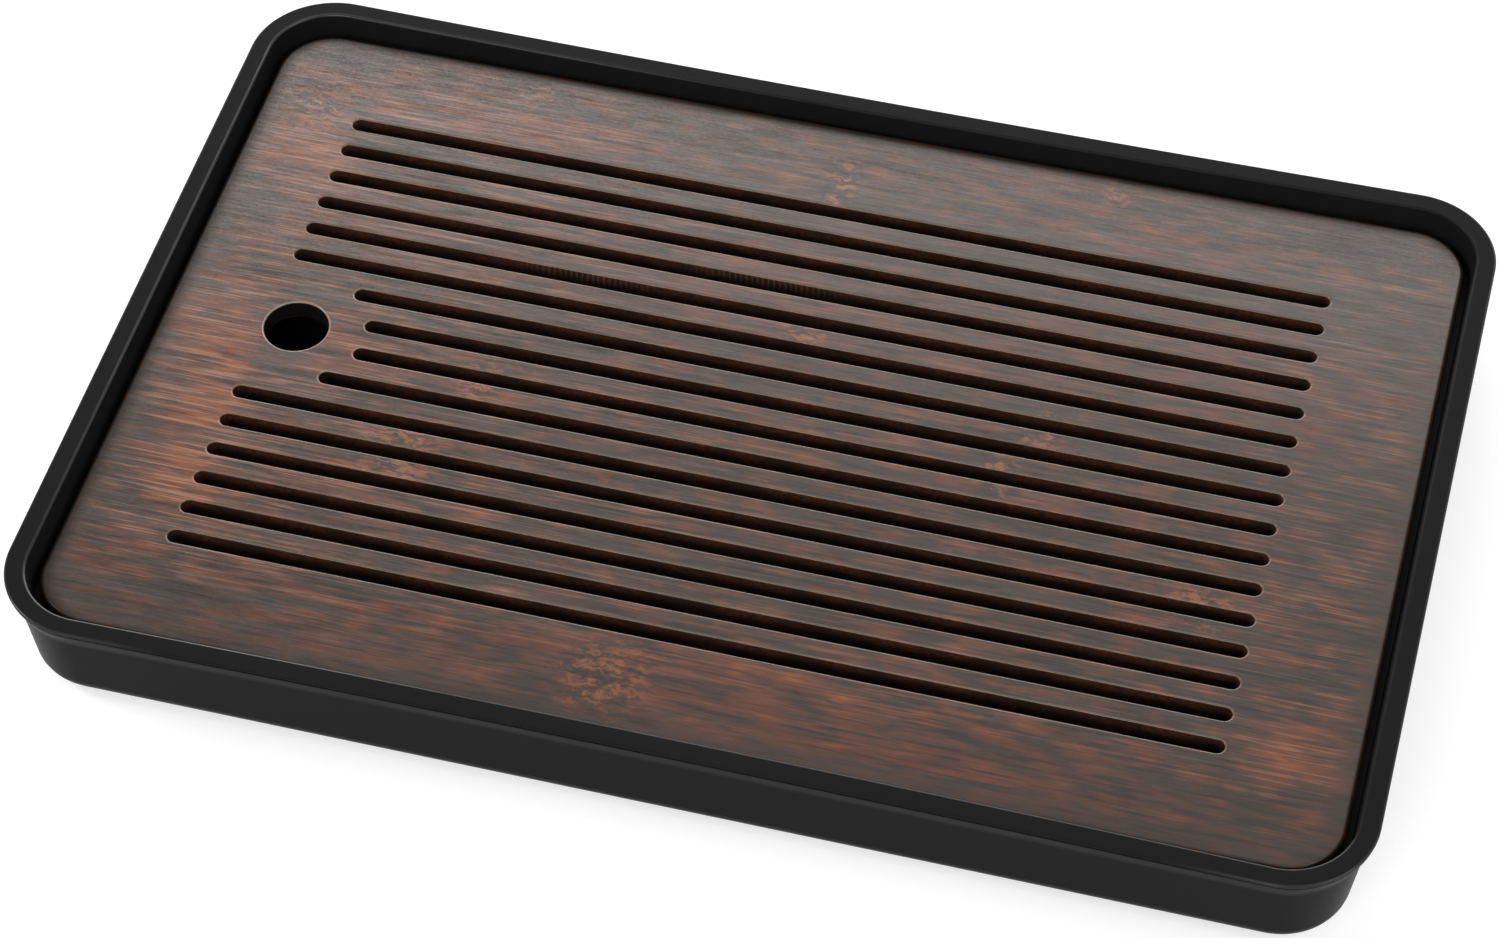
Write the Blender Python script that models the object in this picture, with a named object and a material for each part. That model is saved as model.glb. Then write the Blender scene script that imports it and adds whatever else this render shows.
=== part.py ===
"""Bamboo tea tray: a slotted bamboo board that lies loose in a moulded drip basin.

Metres, +Z up. The origin is on the table under the middle of the tray, +X runs along the long side
and the finger hole is towards -X.
"""
import math

import bmesh
import bpy

# Basin, outside
TRAY_LENGTH = 0.365
TRAY_WIDTH = 0.245
BASIN_HEIGHT = 0.032
RIM_CORNER_RADIUS = 0.024
RIM_WIDTH = 0.0053
RIM_DRAW_IN = 0.0013
LIP_OVERHANG = 0.0024
LIP_THICKNESS = 0.0026
LIP_EDGE_RADIUS = 0.0012
LIP_HOLLOW_RADIUS = 0.0005
RIM_INNER_RADIUS = 0.0007
BODY_TAPER = 0.0032
BASE_FILLET = 0.006

# Basin, inside
WALL_DRAFT = 0.0012
LEDGE_WIDTH = 0.0036
LEDGE_EDGE_RADIUS = 0.0006
WELL_DRAFT = 0.0010
FLOOR_THICKNESS = 0.0032
FLOOR_FILLET = 0.005

# Basin, underside
FOOT_RING_WIDTH = 0.024
UNDERSIDE_RECESS = 0.0010
UNDERSIDE_STEP = 0.0020
INNER_CORNER_RADIUS = 0.008
FOOT_POCKET_DEPTH = 0.0010

# Rubber feet
FOOT_RADIUS = 0.006
FOOT_STAND = 0.0012
FOOT_TAPER = 0.0005
FOOT_EDGE_RADIUS = 0.0004

# Bamboo board
BOARD_THICKNESS = 0.006
BOARD_RECESS = 0.0052
BOARD_GAP_END = 0.0031
BOARD_GAP_SIDE = 0.0040
BOARD_EDGE_CHAMFER = 0.0004
SLOT_COUNT = 16
SLOT_PITCH = 0.01062
SLOT_WIDTH = 0.0044
SLOT_CHAMFER = 0.0003
SLOT_MARGIN_LEFT = 0.0285
SLOT_MARGIN_RIGHT = 0.0345
FINGER_HOLE_RADIUS = 0.009
FINGER_HOLE_FROM_EDGE = 0.0378
FINGER_HOLE_MARGIN = 0.0101

# Battens under the board, and their screws
BATTEN_WIDTH = 0.014
BATTEN_THICKNESS = 0.005
BATTEN_SPACING = 0.105
BATTEN_EDGE_CHAMFER = 0.0008
BATTEN_END_CLEARANCE = 0.003
SCREW_FROM_BATTEN_END = 0.012
SCREW_HEAD_RADIUS = 0.003
SCREW_HEAD_DEPTH = 0.0016
SCREW_SHANK_RADIUS = 0.0014
SCREW_LENGTH = 0.009
SCREW_TIP_LENGTH = 0.0015

# Gap between pieces that touch, overrun of every cut, and reach within which points of a turned piece merge
TOUCH_GAP = 0.0003
CUT_OVERRUN = 0.002
MERGE_REACH = 0.000002

# How finely curves are divided
CORNER_STEPS = 9
SIDE_STEPS = 8
FILLET_STEPS = 4
HOLLOW_STEPS = 2
ROUND_STEPS = 24

# Heights and half sizes that follow from the sizes above
BASE_Z = FOOT_STAND
RIM_Z = BASE_Z + BASIN_HEIGHT
BOARD_TOP_Z = RIM_Z - BOARD_RECESS
BOARD_BOTTOM_Z = BOARD_TOP_Z - BOARD_THICKNESS
LEDGE_Z = BOARD_BOTTOM_Z - TOUCH_GAP
FLOOR_Z = BASE_Z + FLOOR_THICKNESS
HALF_LENGTH = TRAY_LENGTH / 2
HALF_WIDTH = TRAY_WIDTH / 2
BOARD_HALF_LENGTH = HALF_LENGTH - RIM_WIDTH - BOARD_GAP_END
BOARD_HALF_WIDTH = HALF_WIDTH - RIM_WIDTH - BOARD_GAP_SIDE
BOARD_CORNER_RADIUS = RIM_CORNER_RADIUS - RIM_WIDTH - BOARD_GAP_END
FINGER_HOLE_X = FINGER_HOLE_FROM_EDGE - BOARD_HALF_LENGTH
BATTEN_TOP_Z = BOARD_BOTTOM_Z - TOUCH_GAP
BATTEN_BOTTOM_Z = BATTEN_TOP_Z - BATTEN_THICKNESS
WELL_INSET = RIM_WIDTH + WALL_DRAFT + LEDGE_WIDTH
BATTEN_HALF_LENGTH = HALF_WIDTH - WELL_INSET - WELL_DRAFT - RIM_DRAW_IN - BATTEN_END_CLEARANCE
BATTEN_CENTRES = {"batten_left": -BATTEN_SPACING, "batten_middle": 0.0, "batten_right": BATTEN_SPACING}
SCREW_Y = BATTEN_HALF_LENGTH - SCREW_FROM_BATTEN_END


def clear_scene():
    """Remove every object that the scene holds."""
    for old in list(bpy.data.objects):
        bpy.data.objects.remove(old, do_unlink=True)


def make_material(name, colour, roughness, metallic=0.0):
    """A plain Principled material."""
    material = bpy.data.materials.new(name)
    material.use_nodes = True
    shader = material.node_tree.nodes["Principled BSDF"]
    shader.inputs["Base Color"].default_value = (*colour, 1.0)
    shader.inputs["Roughness"].default_value = roughness
    shader.inputs["Metallic"].default_value = metallic
    return material


def add_object(name, mesh_maker, material=None, location=(0, 0, 0), parent=None):
    """Turn a bmesh into a named object; every face points out of the closed body."""
    bmesh.ops.recalc_face_normals(mesh_maker, faces=mesh_maker.faces)
    mesh = bpy.data.meshes.new(name)
    mesh_maker.to_mesh(mesh)
    mesh_maker.free()
    obj = bpy.data.objects.new(name, mesh)
    bpy.context.scene.collection.objects.link(obj)
    obj.location = location
    obj.parent = parent
    if material:
        mesh.materials.append(material)
        mesh.shade_smooth()
        mesh.set_sharp_from_angle(angle=math.radians(30))
    return obj


def cut_away(obj, cutter):
    """Subtract a hidden cutter from an object with a live Boolean."""
    cutter.hide_render = True
    cutter.display_type = "WIRE"
    cut = obj.modifiers.new(cutter.name, "BOOLEAN")
    cut.operation = "DIFFERENCE"
    cut.solver = "EXACT"
    cut.object = cutter


def rounded_outline(half_length, half_width, radius, draw_in=0.0):
    """Points of a rounded rectangle, anticlockwise; its long sides draw in by a shallow parabola."""
    corner_x = half_length - radius
    corner_y = half_width - radius
    points = []
    for quarter, (sign_x, sign_y) in enumerate(((1, 1), (-1, 1), (-1, -1), (1, -1))):
        for step in range(CORNER_STEPS + 1):
            angle = math.pi / 2 * (quarter + step / CORNER_STEPS)
            x = sign_x * corner_x + radius * math.cos(angle)
            y = sign_y * corner_y + radius * math.sin(angle)
            points.append((x, y))
        if sign_x == sign_y:
            for step in range(1, SIDE_STEPS):
                along_share = 1 - 2 * step / SIDE_STEPS
                sag = draw_in * (1 - along_share ** 2)
                points.append((sign_x * corner_x * along_share, sign_y * (half_width - sag)))
    return points


def loft(mesh_maker, sections):
    """Bridge a stack of (outline, height) sections into one closed body with flat ends."""
    rings = []
    for outline, height in sections:
        rings.append([mesh_maker.verts.new((x, y, height)) for x, y in outline])
    for lower, upper in zip(rings, rings[1:]):
        for here in range(len(lower)):
            after = (here + 1) % len(lower)
            mesh_maker.faces.new((lower[here], lower[after], upper[after], upper[here]))
    mesh_maker.faces.new(rings[0])
    mesh_maker.faces.new(rings[-1])


def turned(profile, steps=ROUND_STEPS):
    """Spin a profile of (radius, height) points, which starts and ends on the axis, about Z."""
    mesh_maker = bmesh.new()
    verts = [mesh_maker.verts.new((radius, 0, height)) for radius, height in profile]
    edges = [mesh_maker.edges.new(pair) for pair in zip(verts, verts[1:])]
    bmesh.ops.spin(
        mesh_maker,
        geom=verts + edges,
        cent=(0, 0, 0),
        axis=(0, 0, 1),
        angle=2 * math.pi,
        steps=steps,
        use_merge=True,
    )
    bmesh.ops.remove_doubles(mesh_maker, verts=mesh_maker.verts, dist=MERGE_REACH)
    return mesh_maker


def quarter_round(radius, start_angle, steps=FILLET_STEPS):
    """Offsets (outward, up) around a quarter circle from a start angle, in steps."""
    offsets = []
    for step in range(steps + 1):
        angle = start_angle + math.pi / 2 * step / steps
        offsets.append((radius * math.cos(angle), radius * math.sin(angle)))
    return offsets


def basin_section(inset, height):
    """The basin's outline at an inset from the rim's outer edge; the draw-in fades towards the base."""
    up_share = (height - BASE_Z) / BASIN_HEIGHT
    radius = max(RIM_CORNER_RADIUS - inset, INNER_CORNER_RADIUS)
    return rounded_outline(HALF_LENGTH - inset, HALF_WIDTH - inset, radius, RIM_DRAW_IN * up_share), height


def basin_profile():
    """(inset, height) points from the middle of the underside, over the rim, to the middle of the floor."""
    body_top_z = RIM_Z - LIP_THICKNESS
    base_inset = LIP_OVERHANG + BODY_TAPER
    taper_at_fillet = BODY_TAPER * (1 - BASE_FILLET / BASIN_HEIGHT)
    fillet_inset = LIP_OVERHANG + taper_at_fillet
    ring_inset = base_inset + BASE_FILLET + FOOT_RING_WIDTH
    points = [(ring_inset + UNDERSIDE_STEP, BASE_Z + UNDERSIDE_RECESS), (ring_inset, BASE_Z)]
    for out, up in quarter_round(BASE_FILLET, -math.pi / 2):
        points.append((fillet_inset + BASE_FILLET - out, BASE_Z + BASE_FILLET + up))
    hollow_inset = LIP_OVERHANG - LIP_HOLLOW_RADIUS
    for out, up in reversed(quarter_round(LIP_HOLLOW_RADIUS, math.pi / 2, HOLLOW_STEPS)):
        points.append((hollow_inset - out, body_top_z - LIP_HOLLOW_RADIUS + up))
    for out, up in quarter_round(LIP_EDGE_RADIUS, -math.pi / 2):
        points.append((LIP_EDGE_RADIUS - out, body_top_z + LIP_EDGE_RADIUS + up))
    for out, up in quarter_round(LIP_EDGE_RADIUS, 0):
        points.append((LIP_EDGE_RADIUS - out, RIM_Z - LIP_EDGE_RADIUS + up))
    for out, up in quarter_round(RIM_INNER_RADIUS, math.pi / 2):
        points.append((RIM_WIDTH - RIM_INNER_RADIUS - out, RIM_Z - RIM_INNER_RADIUS + up))
    ledge_inset = RIM_WIDTH + WALL_DRAFT
    points.append((ledge_inset, LEDGE_Z))
    for out, up in quarter_round(LEDGE_EDGE_RADIUS, math.pi / 2):
        points.append((WELL_INSET - LEDGE_EDGE_RADIUS - out, LEDGE_Z - LEDGE_EDGE_RADIUS + up))
    floor_inset = WELL_INSET + WELL_DRAFT
    for out, up in quarter_round(FLOOR_FILLET, math.pi):
        points.append((floor_inset + FLOOR_FILLET + out, FLOOR_Z + FLOOR_FILLET + up))
    return points


def foot_places():
    """Where the four feet stand: on the flat ring under the basin, near its corners."""
    inset = LIP_OVERHANG + BODY_TAPER + BASE_FILLET + FOOT_RING_WIDTH / 2
    corner_x = HALF_LENGTH - inset - FOOT_RADIUS
    corner_y = HALF_WIDTH - inset - FOOT_RADIUS
    return {
        "foot_front_left": (-corner_x, -corner_y),
        "foot_front_right": (corner_x, -corner_y),
        "foot_back_left": (-corner_x, corner_y),
        "foot_back_right": (corner_x, corner_y),
    }


def make_basin(material):
    """One-piece moulded basin: drafted walls, lip with rounded edge, seat for the board, foot pockets."""
    mesh_maker = bmesh.new()
    loft(mesh_maker, [basin_section(inset, height) for inset, height in basin_profile()])
    basin = add_object("drip_basin", mesh_maker, material)
    pocket_radius = FOOT_RADIUS + TOUCH_GAP
    pocket_top = BASE_Z + FOOT_POCKET_DEPTH
    pocket_bottom = BASE_Z - CUT_OVERRUN
    for name, (x, y) in foot_places().items():
        profile = (
            (0, pocket_bottom),
            (pocket_radius, pocket_bottom),
            (pocket_radius, pocket_top),
            (0, pocket_top),
        )
        cut_away(basin, add_object("pocket_" + name, turned(profile), location=(x, y, 0)))
    return basin


def make_feet(material, basin):
    """Four rubber discs, each seated in its pocket, with a taper and an eased lower edge."""
    top = BASE_Z + FOOT_POCKET_DEPTH - TOUCH_GAP
    tip_radius = FOOT_RADIUS - FOOT_TAPER
    profile = [(0, top), (FOOT_RADIUS, top), (FOOT_RADIUS, BASE_Z)]
    for out, up in reversed(quarter_round(FOOT_EDGE_RADIUS, -math.pi / 2)):
        profile.append((tip_radius - FOOT_EDGE_RADIUS + out, FOOT_EDGE_RADIUS + up))
    profile.append((0, 0))
    for name, (x, y) in foot_places().items():
        add_object(name, turned(profile), material, location=(x, y, 0), parent=basin)


def slot_span(y):
    """Where a slot at this y starts and ends: the board's margins, and clear of the finger hole."""
    left = SLOT_MARGIN_LEFT - BOARD_HALF_LENGTH
    right = BOARD_HALF_LENGTH - SLOT_MARGIN_RIGHT
    reach = FINGER_HOLE_RADIUS + FINGER_HOLE_MARGIN + SLOT_WIDTH / 2
    if abs(y) < reach:
        end_centre = FINGER_HOLE_X + math.sqrt(reach ** 2 - y ** 2)
        left = max(left, end_centre - SLOT_WIDTH / 2)
    return left, right


def stadium(left, right, y, radius):
    """Outline of a round-ended slot along X."""
    points = []
    steps = ROUND_STEPS // 2
    for centre_x, start_angle in ((right - radius, -math.pi / 2), (left + radius, math.pi / 2)):
        for step in range(steps + 1):
            angle = start_angle + math.pi * step / steps
            points.append((centre_x + radius * math.cos(angle), y + radius * math.sin(angle)))
    return points


def chamfered_cut(mesh_maker, outline_at):
    """Loft a cutter through the board that flares at the top, to leave a chamfered edge."""
    loft(mesh_maker, [
        (outline_at(0), BOARD_BOTTOM_Z - CUT_OVERRUN),
        (outline_at(0), BOARD_TOP_Z - SLOT_CHAMFER),
        (outline_at(SLOT_CHAMFER + CUT_OVERRUN), BOARD_TOP_Z + CUT_OVERRUN),
    ])


def make_slot_cutter():
    """All the drain slots and the finger hole as one cutter."""
    mesh_maker = bmesh.new()
    for index in range(SLOT_COUNT):
        y = (index - (SLOT_COUNT - 1) / 2) * SLOT_PITCH
        left, right = slot_span(y)
        chamfered_cut(mesh_maker, lambda grow: stadium(left - grow, right + grow, y, SLOT_WIDTH / 2 + grow))

    def hole_outline(grow):
        """Outline of the finger hole, which its chamfer widens."""
        radius = FINGER_HOLE_RADIUS + grow
        turn = 2 * math.pi / (2 * ROUND_STEPS)
        return [
            (FINGER_HOLE_X + radius * math.cos(turn * step), radius * math.sin(turn * step))
            for step in range(2 * ROUND_STEPS)
        ]

    chamfered_cut(mesh_maker, hole_outline)
    return add_object("slot_cutter", mesh_maker)


def screw_places():
    """Name and place of every batten screw, two to a batten."""
    places = {}
    for batten, x in BATTEN_CENTRES.items():
        for end, y in (("front", -SCREW_Y), ("back", SCREW_Y)):
            places[batten.replace("batten", "screw") + "_" + end] = (batten, x, y)
    return places


def screw_profile(grow, tip_length):
    """Countersunk screw, head down, grown by a clearance all round for its hole."""
    head_z = BATTEN_BOTTOM_Z + TOUCH_GAP
    neck_z = head_z + SCREW_HEAD_DEPTH
    tip_z = head_z + SCREW_LENGTH + grow
    mouth_z = head_z if grow == 0 else head_z - CUT_OVERRUN
    shank = SCREW_SHANK_RADIUS + grow
    head = SCREW_HEAD_RADIUS + grow
    return [
        (0, mouth_z),
        (head, mouth_z),
        (head, head_z),
        (shank, neck_z + grow),
        (shank, tip_z - tip_length),
        (0, tip_z),
    ]


def screw_cutter(name, x, y):
    """The countersunk pilot hole of one screw."""
    return add_object("pilot_" + name, turned(screw_profile(TOUCH_GAP, 0)), location=(x, y, 0))


def make_board(material, pilots):
    """Bamboo board with eased edges, sixteen slots, the finger hole and the screws' pilot holes."""
    eased = BOARD_EDGE_CHAMFER
    mesh_maker = bmesh.new()
    sections = []
    for inset, height in (
        (eased, BOARD_BOTTOM_Z),
        (0, BOARD_BOTTOM_Z + eased),
        (0, BOARD_TOP_Z - eased),
        (eased, BOARD_TOP_Z),
    ):
        outline = rounded_outline(
            BOARD_HALF_LENGTH - inset, BOARD_HALF_WIDTH - inset, BOARD_CORNER_RADIUS - inset
        )
        sections.append((outline, height))
    loft(mesh_maker, sections)
    board = add_object("slat_board", mesh_maker, material)
    cut_away(board, make_slot_cutter())
    for pilot in pilots.values():
        cut_away(board, pilot)
    return board


def make_battens(material, pilots, board):
    """Strips across the board's underside, with chamfered lower edges."""
    half_width = BATTEN_WIDTH / 2
    chamfer = BATTEN_EDGE_CHAMFER
    battens = {}
    for name, x in BATTEN_CENTRES.items():
        mesh_maker = bmesh.new()
        loft(mesh_maker, [
            (batten_outline(half_width - chamfer, BATTEN_HALF_LENGTH - chamfer), BATTEN_BOTTOM_Z),
            (batten_outline(half_width, BATTEN_HALF_LENGTH), BATTEN_BOTTOM_Z + chamfer),
            (batten_outline(half_width, BATTEN_HALF_LENGTH), BATTEN_TOP_Z),
        ])
        battens[name] = add_object(name, mesh_maker, material, location=(x, 0, 0), parent=board)
    for name, (batten, _, _) in screw_places().items():
        cut_away(battens[batten], pilots[name])
    return battens


def batten_outline(half_x, half_y):
    """A plain rectangle about the batten's own middle."""
    return [(half_x, half_y), (-half_x, half_y), (-half_x, -half_y), (half_x, -half_y)]


def make_screws(material, battens):
    """Countersunk screws, heads just under flush with the battens."""
    for name, (batten, _, y) in screw_places().items():
        profile = screw_profile(0, SCREW_TIP_LENGTH)
        add_object(name, turned(profile), material, location=(0, y, 0), parent=battens[batten])


def main():
    """Build the whole tray."""
    clear_scene()
    black_moulding = make_material("black_moulding", (0.016, 0.016, 0.018), 0.36)
    dark_bamboo = make_material("dark_bamboo", (0.075, 0.032, 0.018), 0.42)
    raw_bamboo = make_material("batten_bamboo", (0.090, 0.042, 0.022), 0.60)
    steel = make_material("screw_steel", (0.55, 0.55, 0.56), 0.35, 1.0)
    rubber = make_material("foot_rubber", (0.02, 0.02, 0.02), 0.80)

    basin = make_basin(black_moulding)
    make_feet(rubber, basin)
    pilots = {name: screw_cutter(name, x, y) for name, (_, x, y) in screw_places().items()}
    board = make_board(dark_bamboo, pilots)
    battens = make_battens(raw_bamboo, pilots, board)
    make_screws(steel, battens)


main()
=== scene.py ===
# %% [markdown]
# # A bamboo tea tray
# The tray is two things that come apart. A moulded basin on four rubber feet catches the spilt tea. A
# slotted bamboo board, kept flat by three strips under it, lies loose in the basin and lifts out by its
# finger hole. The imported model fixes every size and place. This lesson adds fine surfaces, finishes and
# light.

import math

import bmesh
import bpy
import numpy as np
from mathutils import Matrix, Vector, geometry


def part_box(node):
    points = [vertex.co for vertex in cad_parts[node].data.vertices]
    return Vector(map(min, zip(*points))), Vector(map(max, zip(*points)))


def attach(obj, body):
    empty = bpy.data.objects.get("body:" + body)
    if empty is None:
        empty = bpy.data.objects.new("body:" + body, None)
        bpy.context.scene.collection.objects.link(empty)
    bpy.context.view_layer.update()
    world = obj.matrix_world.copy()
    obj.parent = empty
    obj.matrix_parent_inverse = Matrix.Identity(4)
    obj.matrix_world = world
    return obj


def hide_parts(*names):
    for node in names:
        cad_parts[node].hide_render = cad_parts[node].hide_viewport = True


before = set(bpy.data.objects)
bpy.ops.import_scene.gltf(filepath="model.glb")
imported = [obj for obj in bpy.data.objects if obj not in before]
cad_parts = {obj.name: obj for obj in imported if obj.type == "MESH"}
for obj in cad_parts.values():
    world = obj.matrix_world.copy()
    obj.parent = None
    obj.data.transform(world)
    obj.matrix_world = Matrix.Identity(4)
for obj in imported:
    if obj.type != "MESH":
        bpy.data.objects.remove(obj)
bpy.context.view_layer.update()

# %% [markdown]
# ## Sizes
# Sizes that the model already has are read from its nodes, so that nothing can drift apart. Only the
# rounds and widths inside a piece are named here, as the maker's drawing would give them.

# %% Sizes from the nodes
MM = 0.001
basin_low, basin_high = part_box("drip_basin")
board_low, board_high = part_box("slat_board")
HALF_LENGTH, HALF_WIDTH, RIM_Z = basin_high
BOARD_HALF_LENGTH, BOARD_HALF_WIDTH, BOARD_TOP = board_high
BASE_Z = basin_low.z
BOARD_BOTTOM = board_low.z
print(f"tray {2 * HALF_LENGTH / MM:.1f} x {2 * HALF_WIDTH / MM:.1f} x {RIM_Z / MM:.1f} mm")

# %% Sizes of the basin
RIM_CORNER_RADIUS = 24 * MM
RIM_WIDTH = 5.6 * MM
RIM_DRAW_IN = 1.3 * MM
LIP_OVERHANG = 2.4 * MM
LIP_THICKNESS = 1.0 * MM
LIP_EDGE_RADIUS = 0.5 * MM
LIP_LOW_RADIUS = 0.3 * MM
SEAM_HEIGHT = 0.55 * MM
SEAM_DEPTH = 0.7 * MM
SEAM_SETBACK = 0.15 * MM
SEAM_RADIUS = 0.12 * MM
COVE_DROP = 4.2 * MM
COVE_RADIUS = 11 * MM
RIM_INNER_RADIUS = 0.7 * MM
BODY_TAPER = 3.2 * MM
BASE_FILLET = 6.3 * MM
WALL_DRAFT = 1.0 * MM
WALL_FOOT_RADIUS = 0.3 * MM
LEDGE_WIDTH = 3.6 * MM
LEDGE_EDGE_RADIUS = 0.6 * MM
LEDGE_Z = BOARD_BOTTOM - 0.3 * MM
WELL_DRAFT = 1.0 * MM
FLOOR_Z = BASE_Z + 3.2 * MM
FLOOR_FILLET = 5 * MM
FOOT_RING_WIDTH = 23.7 * MM
UNDERSIDE_RECESS = 1.0 * MM
UNDERSIDE_STEP = 2.0 * MM
UNDERSIDE_ROUND = 0.4 * MM
INNER_CORNER_RADIUS = 8 * MM
POCKET_CLEARANCE = 0.3 * MM
POCKET_DEPTH = 1.0 * MM
print(f"the rim is {RIM_WIDTH / MM:.1f} mm wide, and the board's ledge lies at {LEDGE_Z / MM:.1f} mm")

# %% Sizes of the board, its strips and screws
BOARD_CORNER_RADIUS = 15.6 * MM
BOARD_EDGE_RADIUS = 1.2 * MM
BOARD_LOW_EDGE_RADIUS = 0.4 * MM
SLOT_COUNT = 16
SLOT_PITCH = 10.62 * MM
SLOT_WIDTH = 4.4 * MM
SLOT_EDGE_RADIUS = 0.55 * MM
SLOT_MARGIN_LEFT = 28.5 * MM
SLOT_MARGIN_RIGHT = 34.5 * MM
FINGER_HOLE_RADIUS = 9 * MM
FINGER_HOLE_X = 37.8 * MM - BOARD_HALF_LENGTH
FINGER_HOLE_MARGIN = 10.1 * MM
STRIP_EDGE_RADIUS = 0.8 * MM
SCREW_HEAD_RADIUS = 3.0 * MM
SCREW_HEAD_DEPTH = 1.6 * MM
SCREW_SHANK_RADIUS = 1.4 * MM
SCREW_CLEARANCE = 0.3 * MM
print(f"{SLOT_COUNT} slots of {SLOT_WIDTH / MM:.1f} mm, {SLOT_PITCH / MM:.2f} mm apart")

# %% [markdown]
# ## Profiles and rings
# Nearly every edge of this tray is a profile carried along a closed outline: the rim, the slots, the
# feet. So the shapes need three tools. One rounds the corners of a profile, one sweeps it along an
# outline as one array of points, and one fills a level face between such rings, with the holes left open.

# %% Rounded profiles
SUPPORT = 0.05 * MM


def soften(rows, steps=6):
    """Round a profile of rows (out, up, radius): each corner becomes an arc that touches both its sides.

    With half the angle h between the sides, the arc starts radius / tan(h) from the corner, and its
    centre lies radius / sin(h) from it. Returns points (out, up), and a bend: 1 on an arc, else 0."""
    rows = np.asarray(rows, float)
    corners, radii = rows[:, :2], rows[1:-1, 2]
    points = [corners[:1]]
    for before, corner, after, radius in zip(corners, corners[1:], corners[2:], radii):
        towards = np.stack([before - corner, after - corner])
        sides = towards / np.linalg.norm(towards, axis=1)[:, None]
        half = math.acos(np.clip(sides[0] @ sides[1], -1, 1)) / 2
        middle = sides.sum(0) / np.linalg.norm(sides.sum(0))
        centre = corner + middle * radius / math.sin(half)
        start, end = corner + sides * radius / math.tan(half) - centre
        share = np.linspace(0, 1, steps + 1)[:, None]
        turn = math.pi - 2 * half
        arc = (np.sin((1 - share) * turn) * start + np.sin(share * turn) * end) / math.sin(turn)
        lead_in = centre + start + sides[0] * SUPPORT
        lead_out = centre + end + sides[1] * SUPPORT
        points.append(np.vstack([lead_in, centre + arc, lead_out]))
    points.append(corners[-1:])
    bend = [0.0, *[1.0] * (steps + 1), 0.0] * len(radii)
    return np.vstack(points), np.array([0.0, *bend, 0.0])


def wall_profile(apron, out, top, bottom, top_radius, low_radius, steps=6):
    """A level apron, a rounded edge, an upright wall, a rounded edge and another level apron."""
    rows = [(apron, top, 0), (out, top, top_radius), (out, bottom, low_radius), (apron, bottom, 0)]
    return soften(rows, steps)


demo, _ = soften([(0, 0, 0), (1, 0, 0.2), (1, 1, 0)])
print("a rounded corner takes", len(demo), "points")

# %% Rings of a rounded rectangle
CORNER_STEPS = 20
SIDE_STEPS = 24


def rectangle_rings(half_x, half_y, radius, height, sag=0.0):
    """Rings (k, n, 3): corner centre times a sign, plus radius times (cosine, sine), at k heights.

    Along a side the sign runs from one corner to the next. Long sides sag inwards by a parabola."""
    sizes = np.broadcast_arrays(*map(np.atleast_1d, (half_x, half_y, radius, height, sag)))
    half_x, half_y, radius, height, sag = [size[:, None] for size in sizes]
    angle = np.radians(np.linspace(0, 90, CORNER_STEPS + 1))
    share = 1 - 2 * np.arange(1, SIDE_STEPS) / SIDE_STEPS
    corner, side = np.ones(angle.size), np.ones(share.size)
    blocks = []
    for quarter, (corner_x, corner_y) in enumerate(((1, 1), (-1, 1), (-1, -1), (1, -1))):
        turned = angle + quarter * math.pi / 2
        after_x, after_y = -corner_y, corner_x
        along_x = (corner_x + after_x) / 2 + share * (corner_x - after_x) / 2
        along_y = (corner_y + after_y) / 2 + share * (corner_y - after_y) / 2
        blocks.append([corner_x * corner, corner_y * corner, np.cos(turned), np.sin(turned)])
        blocks.append([along_x, along_y, np.cos(turned[-1]) * side, np.sin(turned[-1]) * side])
    sign_x, sign_y, cosine, sine = np.concatenate(blocks, axis=1)[:, None]
    x = (half_x - radius) * sign_x + radius * cosine
    y = (half_y - radius) * sign_y + radius * sine - sag * sine * (1 - sign_x ** 2)
    return np.stack(np.broadcast_arrays(x, y, height), axis=-1)


print("points on a rounded rectangle:", rectangle_rings(2, 1, 0.3, 0).shape[1])

# %% Rings of a slot and of a circle
ROUND_STEPS = 48
SLOT_STEP = 4 * MM


def slot_rings(start, end, y, radius, height):
    """Rings of a round-ended slot along X: a point of its centre line plus radius times a direction."""
    radius, height = np.atleast_1d(radius)[:, None], np.atleast_1d(height)[:, None]
    half_turn = np.radians(np.linspace(-90, 90, ROUND_STEPS // 2 + 1))
    straight = np.linspace(end, start, round((end - start) / SLOT_STEP) + 1)[1:-1]
    at_end, at_start = np.full(half_turn.size, end), np.full(half_turn.size, start)
    spine = np.concatenate([at_end, straight, at_start, straight[::-1]])
    level = np.zeros(straight.size)
    cosine = np.concatenate([np.cos(half_turn), level, -np.cos(half_turn), level])
    sine = np.concatenate([np.sin(half_turn), level + 1, -np.sin(half_turn), level - 1])
    return np.stack(np.broadcast_arrays(spine + radius * cosine, y + radius * sine, height), axis=-1)


def circle_rings(centre, radius, height, steps=ROUND_STEPS):
    """Rings about a vertical axis: centre plus radius times (cosine, sine)."""
    radius, height = np.atleast_1d(radius)[:, None], np.atleast_1d(height)[:, None]
    angle = 2 * math.pi * np.arange(steps) / steps
    x = centre[0] + radius * np.cos(angle)
    y = centre[1] + radius * np.sin(angle)
    return np.stack(np.broadcast_arrays(x, y, height), axis=-1)


print("points round a 100 mm slot:", slot_rings(0, 0.1, 0, 0.002, 0).shape[1])

# %% A shell of rings and level faces
# Level faces are filled in millimetres, which keeps the fill's reach far below the finest detail.
FILL_UNIT = 1 / MM
FILL_REACH = 1e-6


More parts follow.
